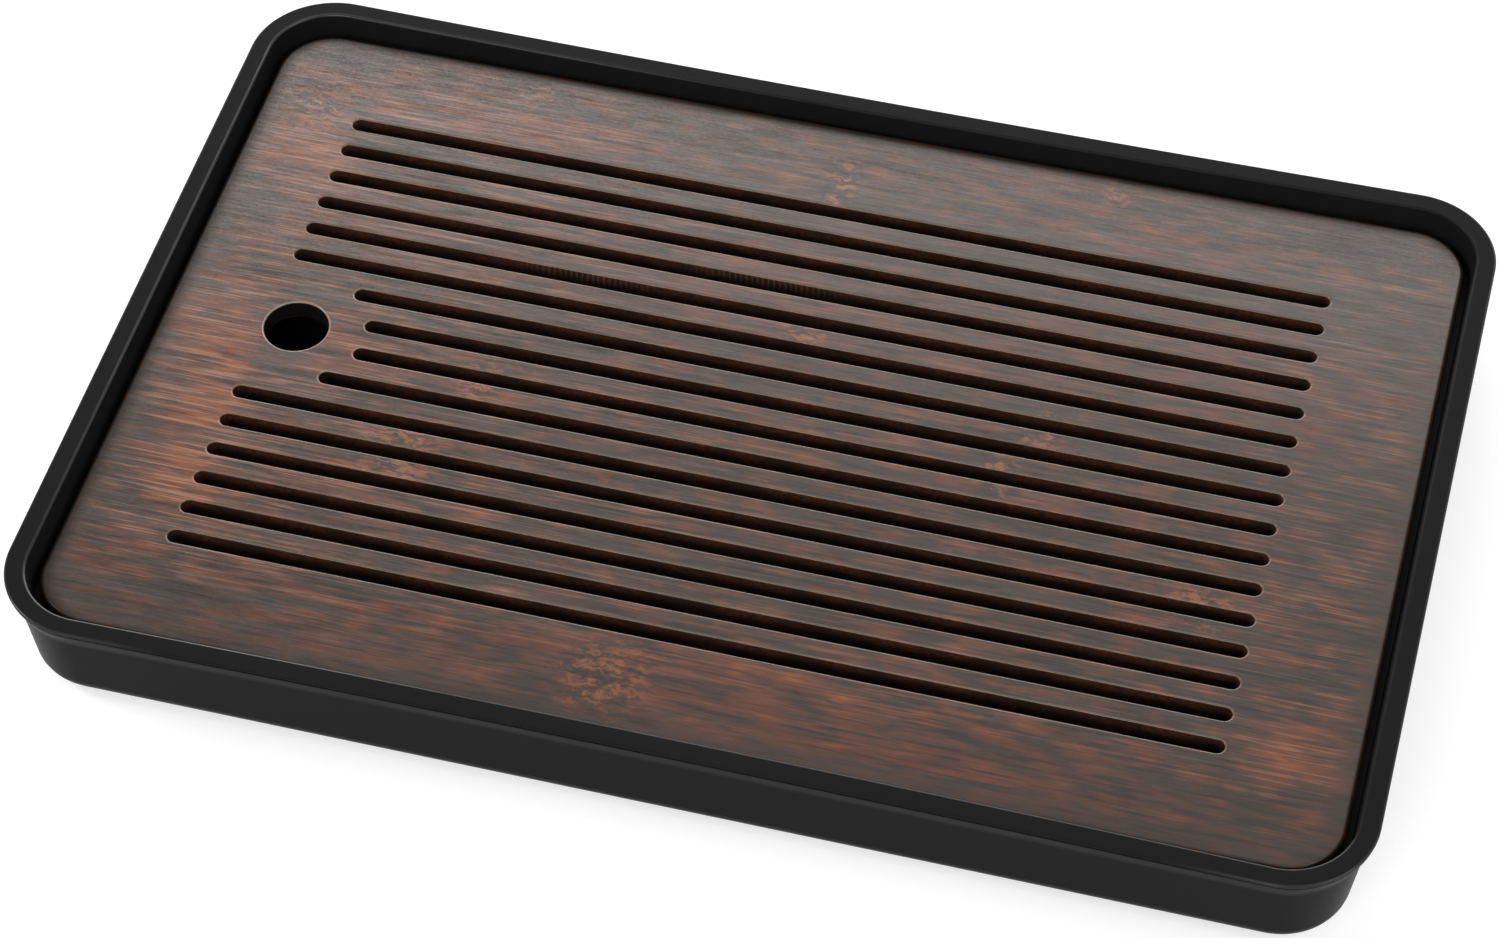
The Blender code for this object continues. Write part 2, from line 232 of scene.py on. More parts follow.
def inside(points, loop):
    """Which points lie in a closed loop: a ray along +X from them crosses it an odd number of times."""
    start_x, start_y = loop.T
    end_x, end_y = np.roll(loop, -1, axis=0).T
    x, y = points.T[..., None]
    spans = (start_y > y) != (end_y > y)
    rise = np.where(end_y == start_y, 1, end_y - start_y)
    crossing = start_x + (y - start_y) / rise * (end_x - start_x)
    return (spans & (x < crossing)).sum(1) % 2 == 1


class Shell:
    """A closed surface in the making: blocks of points, faces between them, and two values a point."""

    def __init__(self):
        self.points = np.zeros((0, 3))
        self.bend = np.zeros(0)
        self.cut = np.zeros(0)
        self.faces = []

    def sweep(self, rings, bend=0.0, cut=0.0):
        """Add a stack of closed rings and the quads between them; returns the first and the last ring.

        Bend and cut say how bent and how sawn each ring is."""
        numbers = len(self.points) + np.arange(rings[..., 0].size).reshape(rings.shape[:-1])
        self.points = np.vstack([self.points, rings.reshape(-1, 3)])
        ones = np.ones(numbers.shape).T
        self.bend = np.concatenate([self.bend, (ones * bend).T.ravel()])
        self.cut = np.concatenate([self.cut, (ones * cut).T.ravel()])
        after = np.roll(numbers, -1, axis=1)
        quads = np.stack([numbers[:-1], after[:-1], after[1:], numbers[1:]], axis=-1)
        self.faces += quads.reshape(-1, 4).tolist()
        return numbers[0], numbers[-1]

    def level(self, outer, holes=()):
        """Fill a level face with triangles: those whose middle is in the outer ring and in no hole."""
        loops = [outer, *holes]
        numbers = np.concatenate(loops)
        flat = self.points[numbers, :2] * FILL_UNIT
        edges = []
        first = 0
        for loop in loops:
            here = first + np.arange(len(loop))
            edges += np.stack([here, np.roll(here, -1)], axis=1).tolist()
            first += len(loop)
        made = geometry.delaunay_2d_cdt([Vector(point) for point in flat], edges, [], 0, FILL_REACH)
        back = np.array([origin[0] for origin in made[3]])
        triangles = back[np.array(made[2])]
        middle = flat[triangles].mean(1)
        keep = inside(middle, self.points[outer, :2] * FILL_UNIT)
        for hole in holes:
            keep &= ~inside(middle, self.points[hole, :2] * FILL_UNIT)
        self.faces += numbers[triangles[keep]].tolist()


# %% From a shell to a piece of the tray
SHARP_FROM = math.radians(40)


def put(name, data):
    """A new object in the scene."""
    made = bpy.data.objects.new(name, data)
    bpy.context.scene.collection.objects.link(made)
    return made


def make_piece(name, shell, body, replaced):
    """Put a shell into a mesh, turn its faces outwards, and let it ride in place of a model's node."""
    mesh = bpy.data.meshes.new(name)
    mesh.from_pydata(shell.points.tolist(), [], shell.faces)
    for label, values in (("bend", shell.bend), ("cut", shell.cut)):
        attribute = mesh.attributes.new(label, "FLOAT", "POINT")
        attribute.data.foreach_set("value", values.astype(np.float32))
    faces = bmesh.new()
    faces.from_mesh(mesh)
    bmesh.ops.recalc_face_normals(faces, faces=faces.faces)
    open_edges = sum(not edge.is_manifold for edge in faces.edges)
    volume = faces.calc_volume(signed=True)
    faces.to_mesh(mesh)
    faces.free()
    mesh.shade_smooth()
    mesh.set_sharp_from_angle(angle=SHARP_FROM)
    piece = put(name, mesh)
    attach(piece, body)
    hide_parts(replaced)
    size = f"{volume / MM ** 3 / 1000:.1f} cm3"
    print(f"{name}: {len(mesh.polygons)} faces, {open_edges} open edges, {size}")
    return piece


# %% [markdown]
# ## The moulded basin
# The real basin comes out of a mould in one piece: every wall leans a little so that it lets go, and
# every edge is rounded. One profile says all of it. It runs from the foot ring up the body, through the
# cove and the fine seam under the lip, over the lip, down to the board's ledge and out over the floor.
# The long sides of the rim bow inwards a little, as such mouldings do when they cool.

# %% The basin's rings
OUTER_EDGE_POLISH = 0.5


def basin_rings(profile):
    """Rings of the basin at (out, up) points, out counted from the rim's edge and so mostly negative."""
    out, up = profile[:, 0], profile[:, 1]
    radius = np.maximum(RIM_CORNER_RADIUS + out, INNER_CORNER_RADIUS)
    sag = RIM_DRAW_IN * (up - BASE_Z) / (RIM_Z - BASE_Z)
    return rectangle_rings(HALF_LENGTH + out, HALF_WIDTH + out, radius, up, sag)


def basin_profiles():
    """The recess under the floor, and the way from the foot ring over the rim to the floor."""
    base_out = -LIP_OVERHANG - BODY_TAPER
    ring_out = base_out - BASE_FILLET - FOOT_RING_WIDTH
    step_out = ring_out - UNDERSIDE_STEP
    recess_top = BASE_Z + UNDERSIDE_RECESS
    lip_low = RIM_Z - LIP_THICKNESS
    seam_low = lip_low - SEAM_HEIGHT
    wall_out = -RIM_WIDTH - WALL_DRAFT
    well_out = wall_out - LEDGE_WIDTH
    recess = [
        (step_out - LEDGE_WIDTH, recess_top, 0),
        (step_out, recess_top, UNDERSIDE_ROUND),
        (ring_out, BASE_Z, UNDERSIDE_ROUND),
        (ring_out + LEDGE_WIDTH, BASE_Z, 0),
    ]
    body = [
        (ring_out + FOOT_RING_WIDTH - LEDGE_WIDTH, BASE_Z, 0),
        (base_out, BASE_Z, BASE_FILLET),
        (-LIP_OVERHANG, seam_low - COVE_DROP, COVE_RADIUS),
        (-SEAM_SETBACK, seam_low, SEAM_RADIUS),
        (-SEAM_SETBACK - SEAM_DEPTH, seam_low, SEAM_RADIUS),
        (-SEAM_SETBACK - SEAM_DEPTH, lip_low, SEAM_RADIUS),
        (0, lip_low, LIP_LOW_RADIUS),
        (0, RIM_Z, LIP_EDGE_RADIUS),
        (-RIM_WIDTH, RIM_Z, RIM_INNER_RADIUS),
        (wall_out, LEDGE_Z, WALL_FOOT_RADIUS),
        (well_out, LEDGE_Z, LEDGE_EDGE_RADIUS),
        (well_out - WELL_DRAFT, FLOOR_Z, FLOOR_FILLET),
        (well_out - WELL_DRAFT - 2 * FLOOR_FILLET, FLOOR_Z, 0),
    ]
    body_points, body_bend = soften(body, steps=8)
    # The finish polishes an edge by its bend, and the outer edges of the lip less than the inner one.
    outer = body_points[:, 0] > -RIM_WIDTH / 2
    body_bend[outer] *= OUTER_EDGE_POLISH
    return soften(recess, steps=3), (body_points, body_bend)


# %% The basin
FEET = ("foot_front_left", "foot_front_right", "foot_back_left", "foot_back_right")


def middle_of(node):
    """Middle of a node's box, seen from above."""
    low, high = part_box(node)
    return (low.x + high.x) / 2, (low.y + high.y) / 2


def make_basin():
    """Sweep both profiles, sink the four foot pockets, and fill the three level faces between them."""
    shell = Shell()
    (recess, recess_bend), (body, body_bend) = basin_profiles()
    recess_inner, recess_outer = shell.sweep(basin_rings(recess), recess_bend)
    body_outer, floor_edge = shell.sweep(basin_rings(body), body_bend)
    low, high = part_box(FEET[0])
    pocket_radius = (high.x - low.x) / 2 + POCKET_CLEARANCE
    pockets = []
    for foot in FEET:
        pocket = circle_rings(middle_of(foot), pocket_radius, [BASE_Z, BASE_Z + POCKET_DEPTH])
        mouth, roof = shell.sweep(pocket)
        shell.level(roof)
        pockets.append(mouth)
    shell.level(recess_inner)
    shell.level(body_outer, [recess_outer, *pockets])
    shell.level(floor_edge)
    return make_piece("basin_shell", shell, "basin", "drip_basin")


basin_shell = make_basin()

# %% [markdown]
# ## Rubber feet
# Each foot is a turned disc: its profile spins about the middle of its pocket. Two shallow grooves in
# the sole, which the model leaves out, let it grip a wet table.

# %% The feet
FOOT_EDGE_RADIUS = 0.4 * MM
FOOT_TAPER = 0.5 * MM
GROOVE_RADII = (2.2 * MM, 3.8 * MM)
GROOVE_DEPTH = 0.25 * MM
GROOVE_HALF_WIDTH = 0.3 * MM
GROOVE_POINTS = 9


def make_foot(node):
    """Spin the foot's profile: level top, tapered side, rounded edge, and a sole with two grooves.

    A groove's depth falls off as one minus the square of how far across its half width a point is."""
    low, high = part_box(node)
    radius = (high.x - low.x) / 2
    tip = radius - FOOT_TAPER
    sole = GROOVE_RADII[-1] + FOOT_EDGE_RADIUS
    side, bend = soften([
        (tip, high.z, 0),
        (radius, high.z, FOOT_EDGE_RADIUS / 2),
        (tip, low.z, FOOT_EDGE_RADIUS),
        (sole, low.z, 0),
    ])
    share = np.linspace(1, -1, GROOVE_POINTS)
    groove_up = low.z + GROOVE_DEPTH * (1 - share ** 2)
    grooves = [
        np.stack([middle + GROOVE_HALF_WIDTH * share, groove_up], axis=1)
        for middle in reversed(GROOVE_RADII)
    ]
    profile = np.vstack([side, *grooves])
    bends = np.concatenate([bend, np.zeros(len(profile) - len(bend))])
    shell = Shell()
    top, bottom = shell.sweep(circle_rings(middle_of(node), profile[:, 0], profile[:, 1]), bends)
    shell.level(top)
    shell.level(bottom)
    return make_piece(node + "_pad", shell, "basin", node)


foot_pads = [make_foot(foot) for foot in FEET]

# %% [markdown]
# ## The bamboo board
# The board is one slab with sixteen slots and a finger hole routed through it. Each opening is a ring
# swept down a profile, and the top and the underside are level faces that leave those rings open. Rounded
# edges are remembered in a value called bend, where the finish paints a highlight, and routed walls in
# one called cut, for the finish to read.

# %% Openings in the board
UPRIGHT_REACH = SLOT_EDGE_RADIUS / 20


def opening_profile(radius):
    """The wall of an opening through the board, whose aprons lie outside it."""
    edge = SLOT_EDGE_RADIUS
    return wall_profile(radius + 2 * edge, radius, BOARD_TOP, BOARD_BOTTOM, edge, edge, steps=5)


def slot_span(y):
    """Centres of a slot's round ends at this y: the board's margins, and clear of the finger hole."""
    start = SLOT_MARGIN_LEFT - BOARD_HALF_LENGTH + SLOT_WIDTH / 2
    end = BOARD_HALF_LENGTH - SLOT_MARGIN_RIGHT - SLOT_WIDTH / 2
    reach = FINGER_HOLE_RADIUS + FINGER_HOLE_MARGIN + SLOT_WIDTH / 2
    if abs(y) < reach:
        start = max(start, FINGER_HOLE_X + math.sqrt(reach ** 2 - y ** 2))
    return start, end


def cut_openings(shell):
    """Sweep the walls of every slot and of the finger hole; returns their rings at the top and below.

    The sawn wall is where the profile is as good as upright. It is the same rings in both kinds."""
    profile, bend = opening_profile(SLOT_WIDTH / 2)
    wall = (profile[:, 0] < SLOT_WIDTH / 2 + UPRIGHT_REACH).astype(float)
    rings = []
    for index in range(SLOT_COUNT):
        y = (index - (SLOT_COUNT - 1) / 2) * SLOT_PITCH
        start, end = slot_span(y)
        rings.append(shell.sweep(slot_rings(start, end, y, profile[:, 0], profile[:, 1]), bend, wall))
    profile, bend = opening_profile(FINGER_HOLE_RADIUS)
    hole = circle_rings((FINGER_HOLE_X, 0), profile[:, 0], profile[:, 1], 2 * ROUND_STEPS)
    rings.append(shell.sweep(hole, bend, wall))
    return [ring[0] for ring in rings], [ring[1] for ring in rings]


# %% The board
BATTENS = ("batten_left", "batten_middle", "batten_right")
SCREWS = tuple(
    batten.replace("batten", "screw") + end for batten in BATTENS for end in ("_front", "_back")
)


def make_board():
    """Sweep the rounded edge and the openings, sink six blind screw holes, and fill both faces."""
    shell = Shell()
    edge, low_edge = BOARD_EDGE_RADIUS, BOARD_LOW_EDGE_RADIUS
    profile, _ = wall_profile(-2 * edge, 0, BOARD_TOP, BOARD_BOTTOM, edge, low_edge)
    out, up = profile.T
    radius = BOARD_CORNER_RADIUS + out
    rim = rectangle_rings(BOARD_HALF_LENGTH + out, BOARD_HALF_WIDTH + out, radius, up)
    top_rim, low_rim = shell.sweep(rim)
    top_rings, low_rings = cut_openings(shell)
    pilot_radius = SCREW_SHANK_RADIUS + SCREW_CLEARANCE
    for screw in SCREWS:
        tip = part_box(screw)[1].z + SCREW_CLEARANCE
        pilot = circle_rings(middle_of(screw), pilot_radius, [BOARD_BOTTOM, tip], ROUND_STEPS // 2)
        mouth, end = shell.sweep(pilot)
        shell.level(end)
        low_rings.append(mouth)
    shell.level(top_rim, top_rings)
    shell.level(low_rim, low_rings)
    return make_piece("tea_board", shell, "board", "slat_board")


tea_board = make_board()

# %% [markdown]
# ## Strips and screws
# Three bamboo strips run across the grain under the board, each held by two countersunk screws. They
# show when the board is lifted and turned, and a screw without a thread would look wrong in the hand.

# %% The strips
STRIP_CORNER_RADIUS = 0.6 * MM


def make_strip(node):
    """A rounded bar with two countersunk holes swept through it from the underside."""
    low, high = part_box(node)
    centre_x = (low.x + high.x) / 2
    half_x, half_y = (high.x - low.x) / 2, (high.y - low.y) / 2
    edge = STRIP_EDGE_RADIUS
    profile, bend = wall_profile(-2 * edge, 0, high.z, low.z, edge / 4, edge)
    out, up = profile.T
    radius = np.maximum(STRIP_CORNER_RADIUS + out, STRIP_CORNER_RADIUS / 2)
    shell = Shell()
    bar = rectangle_rings(half_x + out, half_y + out, radius, up)
    bar[..., 0] += centre_x
    top_rim, low_rim = shell.sweep(bar, bend)
    head = SCREW_HEAD_RADIUS + SCREW_CLEARANCE
    shank = SCREW_SHANK_RADIUS + SCREW_CLEARANCE
    mouths, tops = [], []
    for screw in SCREWS:
        place = middle_of(screw)
        if abs(place[0] - centre_x) > half_x:
            continue
        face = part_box(screw)[0].z
        cone_top = face + SCREW_HEAD_DEPTH + SCREW_CLEARANCE
        heights = [low.z, face, cone_top, high.z]
        mouth, top = shell.sweep(circle_rings(place, [head, head, shank, shank], heights))
        mouths.append(mouth)
        tops.append(top)
    shell.level(low_rim, mouths)
    shell.level(top_rim, tops)
    return make_piece(node.replace("batten", "strip"), shell, "board", node)


strips = [make_strip(batten) for batten in BATTENS]

# %% The screws
THREAD_PITCH = 1.1 * MM
THREAD_DEPTH = 0.35 * MM
RECESS_DEPTH = 1.0 * MM
RECESS_ARM = 1.7 * MM
RECESS_HALF_WIDTH = 0.42 * MM
RECESS_LIP = 1.15
RECESS_SIDE = 0.3
RECESS_TAPER = 1.6
HEAD_EDGE = 0.15 * MM
POINT_LENGTH = 1.5 * MM
POINT_RADIUS = 0.05 * MM
POINT_CURVE = 0.6
FACE_RINGS = 30
SHANK_RINGS = 60


def cross_depth(x, y):
    """Depth of the driver's cross: full inside either arm, fading at its sides and away from the middle.

    An arm's value is 1 on its outline, so the side slopes from RECESS_LIP inwards by RECESS_SIDE."""
    arm = np.minimum(
        np.maximum(np.abs(x) / RECESS_ARM, np.abs(y) / RECESS_HALF_WIDTH),
        np.maximum(np.abs(y) / RECESS_ARM, np.abs(x) / RECESS_HALF_WIDTH),
    )
    taper = 1 - np.hypot(x, y) / (RECESS_TAPER * RECESS_ARM)
    return RECESS_DEPTH * np.clip((RECESS_LIP - arm) / RECESS_SIDE, 0, 1) * np.clip(taper, 0, 1)


def make_screw(node):
    """Three grids joined ring to ring: the head's face with its cross, the cone, the threaded shank."""
    low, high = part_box(node)
    centre = middle_of(node)
    steps = 2 * ROUND_STEPS
    face_radius = np.linspace(POINT_RADIUS, SCREW_HEAD_RADIUS - HEAD_EDGE, FACE_RINGS)
    face = circle_rings(centre, face_radius, low.z, steps)
    face[..., 2] += cross_depth(face[..., 0] - centre[0], face[..., 1] - centre[1])
    cone = circle_rings(
        centre,
        [SCREW_HEAD_RADIUS, SCREW_HEAD_RADIUS, SCREW_SHANK_RADIUS - THREAD_DEPTH],
        [low.z + HEAD_EDGE, low.z + 2 * HEAD_EDGE, low.z + SCREW_HEAD_DEPTH],
        steps,
    )
    length = high.z - low.z
    along = np.linspace(SCREW_HEAD_DEPTH + HEAD_EDGE, length, SHANK_RINGS)
    angle_share = np.arange(steps) / steps
    turn = along[:, None] / THREAD_PITCH - angle_share[None]
    ridge = np.abs(2 * (turn % 1) - 1)
    fade = np.clip((length - along) / POINT_LENGTH, 0, 1)[:, None]
    radius = (SCREW_SHANK_RADIUS - THREAD_DEPTH * ridge) * fade ** POINT_CURVE + POINT_RADIUS * (1 - fade)
    angle = 2 * math.pi * angle_share[None]
    shank_x = centre[0] + radius * np.cos(angle)
    shank_y = centre[1] + radius * np.sin(angle)
    shank = np.stack(np.broadcast_arrays(shank_x, shank_y, low.z + along[:, None]), axis=-1)
    shell = Shell()
    first, last = shell.sweep(np.concatenate([face, cone, shank]))
    shell.level(first)
    shell.level(last)
    return make_piece(node + "_steel", shell, "board", node)


screws = [make_screw(screw) for screw in SCREWS]

# %% [markdown]
# ## Writing a finish as an expression
# A procedural material is arithmetic on textures. Drawn as nodes it fills a screen; written as Python it
# reads as what it does. A Wire holds the output of one node, and adding or multiplying wires adds the
# Math node for it. Finish.node makes any other node from its type, its settings and its sockets.

# %% Wires
class Wire:
    """One node's output. Python's operators on it add Math nodes to the same finish."""

    def __init__(self, finish, socket):
        self.finish = finish
        self.socket = socket

    def __add__(self, other):
        return self.finish.maths("ADD", self, other)

    def __sub__(self, other):
        return self.finish.maths("SUBTRACT", self, other)

    def __rsub__(self, other):
        return self.finish.maths("SUBTRACT", other, self)

    def __mul__(self, other):
        return self.finish.maths("MULTIPLY", self, other)

    def __truediv__(self, other):
        return self.finish.maths("DIVIDE", self, other)

    __radd__ = __add__


# %% Finishes
class Finish:
    """A material, or the world, in the making, with a short call for each kind of node used often."""

    def __init__(self, owner):
        owner.use_nodes = True
        self.owner = owner
        self.tree = owner.node_tree
        self.tree.nodes.clear()

    def node(self, kind, settings=(), sockets=(), output=0):
        """Add any node: its settings are made first, then its sockets get values or links."""
        made = self.tree.nodes.new(kind)
        for setting, value in dict(settings).items():
            setattr(made, setting, value)
        for socket, value in dict(sockets).items():
            if isinstance(value, Wire):
                self.tree.links.new(value.socket, made.inputs[socket])
            elif made.inputs[socket].type == "RGBA":
                made.inputs[socket].default_value = (*value, 1.0)
            else:
                made.inputs[socket].default_value = value
        return Wire(self, made.outputs[output]) if made.outputs else None

    def maths(self, operation, first, second=0.0):
        """One Math node."""
        return self.node("ShaderNodeMath", {"operation": operation}, {0: first, 1: second})

    def vector(self, operation, first, second=(0.0, 0.0, 0.0)):
        """One Vector Math node that gives a vector."""
        return self.node("ShaderNodeVectorMath", {"operation": operation}, {0: first, 1: second})

    def length(self, vector):
        """How long a vector is."""
        return self.node("ShaderNodeVectorMath", {"operation": "LENGTH"}, {0: vector}, "Value")

    def axis(self, place, name):
        """X, Y or Z of a vector."""
        return self.node("ShaderNodeSeparateXYZ", (), {0: place}, name)

    def join(self, x, y, z):
        """A vector from three values."""
        return self.node("ShaderNodeCombineXYZ", (), {0: x, 1: y, 2: z})

    def noise(self, place, size, detail=2.0, roughness=0.5):
        """Cloudy noise whose features are about `size` (x, y, z) long, from 0 to 1."""
        stretched = self.vector("DIVIDE", place, size)
        sockets = {"Vector": stretched, "Scale": 1.0, "Detail": detail, "Roughness": roughness}
        return self.node("ShaderNodeTexNoise", (), sockets)

    def band(self, value, low, high):
        """0 below `low`, 1 above `high`, and a smooth step between; `low` may be the larger."""
        settings = {"interpolation_type": "SMOOTHSTEP"}
        return self.node("ShaderNodeMapRange", settings, {0: value, 1: low, 2: high})

    def mix(self, start, end, share):
        """A colour between two colours."""
        return self.node("ShaderNodeMix", {"data_type": "RGBA"}, {0: share, 6: start, 7: end}, 2)

    def layers(self, colour, *over):
        """A colour with others laid over it, each given as (colour, share)."""
        for tint, share in over:
            colour = self.mix(colour, tint, share)
        return colour

    def value_of(self, attribute):
        """A value that the mesh carries at each point."""
        return self.node("ShaderNodeAttribute", {"attribute_name": attribute}, output="Fac")

    def bump(self, height, distance, strength):
        """A normal bent by a height; `distance` is the height's unit in metres."""
        sockets = {"Height": height, "Distance": distance, "Strength": strength}
        return self.node("ShaderNodeBump", (), sockets)

    def show(self, shader, output="ShaderNodeOutputMaterial"):
        """Join a shader to the output, and return what the finish is for."""
        self.node(output, (), {"Surface": shader})
        return self.owner

    def surface(self, **sockets):
        """End in the Principled shader; socket names are written with underscores."""
        named = {name.replace("_", " "): value for name, value in sockets.items()}
        return self.show(self.node("ShaderNodeBsdfPrincipled", (), named))


def new_finish(name):
    """An empty material to build on, and the place on the object in millimetres."""
    finish = Finish(bpy.data.materials.new(name))
    place = finish.node("ShaderNodeTexCoord", output="Object")
    return finish, finish.vector("MULTIPLY", place, (1 / MM, 1 / MM, 1 / MM))


def dress(pieces, material):
    """Give every piece of a list one material."""
    for piece in pieces:
        piece.data.materials.append(material)
    print(material.name, "has", len(material.node_tree.nodes), "nodes, on", len(pieces), "pieces")


# %% [markdown]
# ## Black moulding
# The basin is dyed through, so its colour hardly changes. What the eye reads is the skin: a satin grain
# from the mould, a slight waviness, and edges that handling has polished and greyed.

# %% The black moulding
# Only the lip is polished: outside near its ends, inside at the left and a little along the front.
POLISHED_Z = RIM_Z / MM - 2 * LIP_THICKNESS / MM
ENDS_X = (128.0, 168.0)
HELD_X = (-20.0, -140.0)
FRONT_Y = (-100.0, -112.0)
MOULDING_DARK = (0.0092, 0.0093, 0.0100)
MOULDING_PALE = (0.0116, 0.0117, 0.0126)
MOULDING_WORN = (0.024, 0.024, 0.026)


def black_moulding():
    """Near-black plastic with a fine spark grain and faint waves; the coat is its edges' polish."""
    finish, place = new_finish("black_moulding")
    edge = finish.value_of("bend")
    cloud = finish.noise(place, (38, 38, 38))
    speck = finish.noise(place, (0.35, 0.35, 0.35), 1.0)
    scuff = finish.band(finish.noise(place, (3.0, 3.0, 1.2), 4.0, 0.65), 0.60, 0.74)
    wear = edge * finish.noise(place, (9, 9, 9), 3.0, 0.6)
    rim = finish.band(finish.axis(place, "Z"), POLISHED_Z - 0.2, POLISHED_Z)
    ends = finish.band(finish.maths("ABSOLUTE", finish.axis(place, "X")), *ENDS_X)
    inner = finish.band(edge, OUTER_EDGE_POLISH, 1.0)
    rubbed = finish.band(finish.noise(place, (70, 70, 70), 1.0), 0.38, 0.62)
    held = finish.band(finish.axis(place, "X"), *HELD_X) * (0.6 + rubbed * 0.4)
    front = finish.band(finish.axis(place, "Y"), *FRONT_Y) * (1 - held)
    inner_polish = 0.03 + held * 0.75 + front * 0.28
    polish = rim * (inner * inner_polish + edge * (1 - inner) * ends)
    tone = finish.mix(MOULDING_DARK, MOULDING_PALE, cloud)
    tone = finish.mix(tone, MOULDING_WORN, wear * 0.25 + scuff * 0.08)
    height = speck * 0.35 + finish.noise(place, (6, 6, 6), 1.0) * 1.2
    return finish.surface(
        Base_Color=tone,
        Roughness=0.36 + (cloud - 0.5) * 0.10 + speck * 0.05 - wear * 0.10,
        IOR=1.5,
        Specular_IOR_Level=0.03,
        Coat_Weight=polish,
        Coat_Roughness=0.16,
        Coat_IOR=1.5,
        Normal=finish.bump(height, 0.02 * MM, 0.5),
    )


dress([basin_shell], black_moulding())

# %% [markdown]
# ## Dark bamboo
# Carbonised bamboo is steamed until its sugars turn brown, then stained nearly black and lacquered. Soft
# tissue takes the stain and hard fibres resist it, so rust and tan streaks break through along the grain.
# At each node of the culm the fibres knot together in a blotchy band. The finish is built the same way:
# a dark ground, streaks of rust, pale fibres, then knots at listed places, all in millimetres. Fibres
# shine more at the left. Painted shade darkens the front and a border along the rim's walls, deepest
# at the left and the back, and the rounded edges carry a painted highlight.

# %% Where the knots, the rusty patches and the router's marks lie
# A spot has x, y and its reach along both, and a patch also how much redder it is than the rest. The
# board is glued up of laths, each with its own stretch of grain.
LATH_WIDTH = 20.5
LATH_OFFSET = 16.3
LATH_SHIFT = 400.0
GRAIN_DRIFT = 1.8
KNOT_TANGLE = 4.4
KNOTS = (
    (-158, 85, 13, 14),
    (-96, 106, 7, 9),
    (-3, 90, 7, 14),
    (75, 107, 6, 8),
    (1, 33, 8, 8),
    (-94, -37, 15, 14),
    (-81, -7, 9, 9),
    (72, 13, 7, 9),
    (64, -5, 7, 10),
    (125, -36, 11, 9),
    (-20, -98, 15, 15),
)
RUSTY_PATCHES = (
    (-150, -36, 15, 26, 0.27),
    (-149, -62, 11, 14, 0.26),
    (-152, 70, 22, 22, 0.17),
    (-160, 4, 24, 30, 0.14),
    (-124, -2, 14, 16, 0.08),
    (160, -74, 14, 16, 0.16),
    (-156, -89, 16, 9, 0.10),
    (-134, -70, 16, 14, 0.09),
    (10, -89, 80, 8, 0.13),
    (0, -103, 150, 8, 0.05),
    (20, 64, 110, 5, -0.05),
    (-120, -96, 40, 12, 0.04),
    (-100, 89, 44, 8, 0.12),
    (-22, 88, 14, 7, 0.09),
    (88, 89, 36, 7, 0.08),
    (152, 104, 34, 11, -0.16),
    (-158, 107, 20, 8, -0.08),
    (-96, -48, 46, 24, 0.08),
    (-25, -42, 32, 14, 0.07),
    (10, -70, 120, 12, 0.04),
    (-105, 4, 30, 24, 0.08),
    (30, 44, 100, 30, -0.03),
    (-136, -101, 36, 10, -0.07),
    (-164, 38, 11, 16, -0.15),
    (-158, 68, 16, 7, 0.10),
)
CHATTER = (
    (-14, 4.5 * SLOT_PITCH / MM, 30, 3.5),
    (-64, 3.5 * SLOT_PITCH / MM, 27, 3.5),
)
CHATTER_PITCH = 1.6
WALL_LIT_DEPTH = 5.5


def blot(finish, place, x, y, reach_x, reach_y):
    """1 in the middle of an ellipse: it fades from a quarter of its reach to a quarter past it."""
    away = finish.vector("SUBTRACT", place, (x, y, 0.0))
    share = finish.vector("MULTIPLY", away, (1 / reach_x, 1 / reach_y, 0.0))
    return finish.band(finish.length(share), 1.25, 0.25)


def blots(finish, place, spots):
    """The sum of several blots; a spot with a fifth value has that as its strength."""
    total = None
    for x, y, reach_x, reach_y, *strength in spots:
        here = blot(finish, place, x, y, reach_x, reach_y)
        if strength:
            here = here * strength[0]
        total = here if total is None else total + here
    return total


# %% The bamboo's grain
def bamboo_grain(finish, place):
    """Grain coordinates: the place, shifted along each lath, drifting across it and tangled at knots."""
    x = finish.axis(place, "X")
    y = finish.axis(place, "Y")
    z = finish.axis(place, "Z")
    lath = finish.maths("FLOOR", (y + LATH_OFFSET) / LATH_WIDTH)
    own = finish.node("ShaderNodeTexWhiteNoise", {"noise_dimensions": "1D"}, {"W": lath})
    knot = None
    for spot in KNOTS:
        here = blot(finish, place, *spot)
        knot = here if knot is None else finish.maths("MAXIMUM", knot, here)
    drift = (finish.noise(place, (95, 18, 18), 1.0) - 0.5) * GRAIN_DRIFT
    tangle = (finish.noise(place, (3.8, 3.0, 3.0)) - 0.5) * knot * KNOT_TANGLE
    grain = finish.join(x + own * LATH_SHIFT, y + drift + tangle, z)
    return grain, own, knot


def board_inset(finish, place):
    """Millimetres inwards from the board's outline: straight sides, and arcs about corner centres."""
    halves = (BOARD_HALF_LENGTH, BOARD_HALF_WIDTH)
    corner = [half / MM - BOARD_CORNER_RADIUS / MM for half in halves]
    seen_from_above = finish.vector("MULTIPLY", place, (1.0, 1.0, 0.0))
    folded = finish.vector("ABSOLUTE", seen_from_above)
    past = finish.vector("SUBTRACT", folded, (*corner, 0.0))
    arc = finish.length(finish.vector("MAXIMUM", past))
    side = finish.maths("MAXIMUM", finish.axis(past, "X"), finish.axis(past, "Y"))
    return BOARD_CORNER_RADIUS / MM - arc - finish.maths("MINIMUM", side, 0.0)


